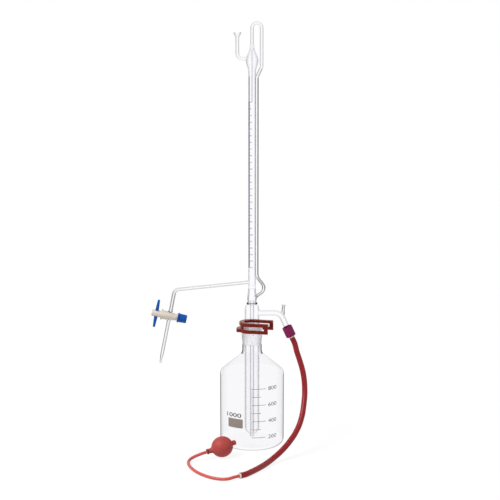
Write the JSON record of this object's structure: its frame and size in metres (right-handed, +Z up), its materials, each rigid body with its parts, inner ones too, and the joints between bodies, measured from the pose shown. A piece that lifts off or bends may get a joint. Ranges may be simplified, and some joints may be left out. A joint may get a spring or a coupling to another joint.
{
  "type": "automatic zero burette",
  "caption": "Tall glass burette with overflow bulb, supply tube and stopcock arm, standing on a reservoir bottle and filled by a rubber squeeze bulb on a hose.",
  "frame": {"origin": "centre of the bottle's flat base, on the bench", "axes": "+Z up along the burette, +X towards the air hose, -X towards the stopcock, -Y to the front, where the scales face"},
  "size_m": [0.2536, 0.2446, 0.6842],
  "materials": {
    "borosilicate_glass": "clear, ground frosted in the joint",
    "ptfe": "waxy satin",
    "blue_plastic": "moulded gloss",
    "black_rubber": "matte",
    "silicone_rubber": "matte",
    "white_plastic": "moulded satin",
    "purple_plastic": "moulded gloss",
    "clip_plastic": "moulded gloss, slightly see-through",
    "hose_rubber": "matte",
    "thin_hose_rubber": "matte",
    "bulb_rubber": "matte",
    "valve_plastic": "matte",
    "valve_steel": "polished"
  },
  "bodies": {
    "bottle": {"reservoir_bottle": "borosilicate_glass"},
    "burette": {"head_jacket": "borosilicate_glass", "dip_tube": "borosilicate_glass", "stem": "borosilicate_glass", "burette_tube": "borosilicate_glass", "zero_tip": "borosilicate_glass", "supply_tube": "borosilicate_glass", "vent_cup": "borosilicate_glass", "delivery_arm": "borosilicate_glass", "stopcock_barrel": "borosilicate_glass", "jet_tube": "borosilicate_glass", "side_arm": "borosilicate_glass", "vent_spigot": "borosilicate_glass", "hose_gasket": "silicone_rubber", "hose_nipple": "white_plastic", "pressure_hose": "hose_rubber", "hose_reducer": "white_plastic", "bulb_hose": "thin_hose_rubber", "outlet_valve_body": "valve_plastic", "squeeze_bulb": "bulb_rubber"},
    "key": {"stopcock_key": "ptfe", "key_handle": "blue_plastic"},
    "washer": {"thrust_washer": "ptfe", "key_o_ring": "black_rubber"},
    "nut": {"tension_nut": "blue_plastic"},
    "bush": {"cap_bush": "white_plastic"},
    "cap": {"screw_cap": "purple_plastic"},
    "clip": {"joint_clip": "clip_plastic"},
    "bulb_end": {"intake_valve_body": "valve_plastic"},
    "outlet_ball": {"outlet_valve_ball": "valve_steel"},
    "intake_ball": {"intake_valve_ball": "valve_steel"}
  },
  "joints": [
    {"name": "head_swivel", "type": "hinge", "parent": "bottle", "child": "burette", "pos_m": [0, 0, 0.19828], "axis": [0, 0, 1], "range_deg": [-90, 90]},
    {"name": "stopcock_turn", "type": "hinge", "parent": "burette", "child": "key", "pos_m": [-0.13377, 0, 0.21283], "axis": [0.9799, 0, -0.1994], "continuous": true},
    {"name": "washer_slide", "type": "slide", "parent": "key", "child": "washer", "axis": [0.9799, 0, -0.1994], "range_m": [0, 0.002]},
    {"name": "nut_turn", "type": "hinge", "parent": "washer", "child": "nut", "pos_m": [-0.13377, 0, 0.21283], "axis": [0.9799, 0, -0.1994], "range_deg": [0, 720]},
    {"name": "bush_slide", "type": "slide", "parent": "burette", "child": "bush", "axis": [0.4258, 0, -0.9048], "range_m": [0, 0.00125]},
    {"name": "cap_turn", "type": "hinge", "parent": "bush", "child": "cap", "pos_m": [0.0457, 0, 0.21788], "axis": [0.4258, 0, -0.9048], "range_deg": [0, 180]},
    {"name": "clip_pull", "type": "slide", "parent": "burette", "child": "clip", "axis": [-0.9659, 0.2588, 0], "range_m": [0, 0.065]},
    {"name": "bulb_squeeze", "type": "slide", "parent": "burette", "child": "bulb_end", "axis": [-0.8863, -0.4265, -0.1805], "range_m": [0, 0.012], "stiffness_N_per_m": 300, "deforming": ["squeeze_bulb"]},
    {"name": "outlet_ball_lift", "type": "slide", "parent": "burette", "child": "outlet_ball", "axis": [-0.8863, -0.4265, -0.1805], "range_m": [0, 0.0012]},
    {"name": "intake_ball_lift", "type": "slide", "parent": "bulb_end", "child": "intake_ball", "axis": [-0.8863, -0.4265, -0.1805], "range_m": [0, 0.0012]}
  ],
  "couplings": [
    {"joint": "nut_turn", "follows": "washer_slide", "rad_per_m": 6283.2},
    {"joint": "cap_turn", "follows": "bush_slide", "rad_per_m": 2513.3}
  ]
}
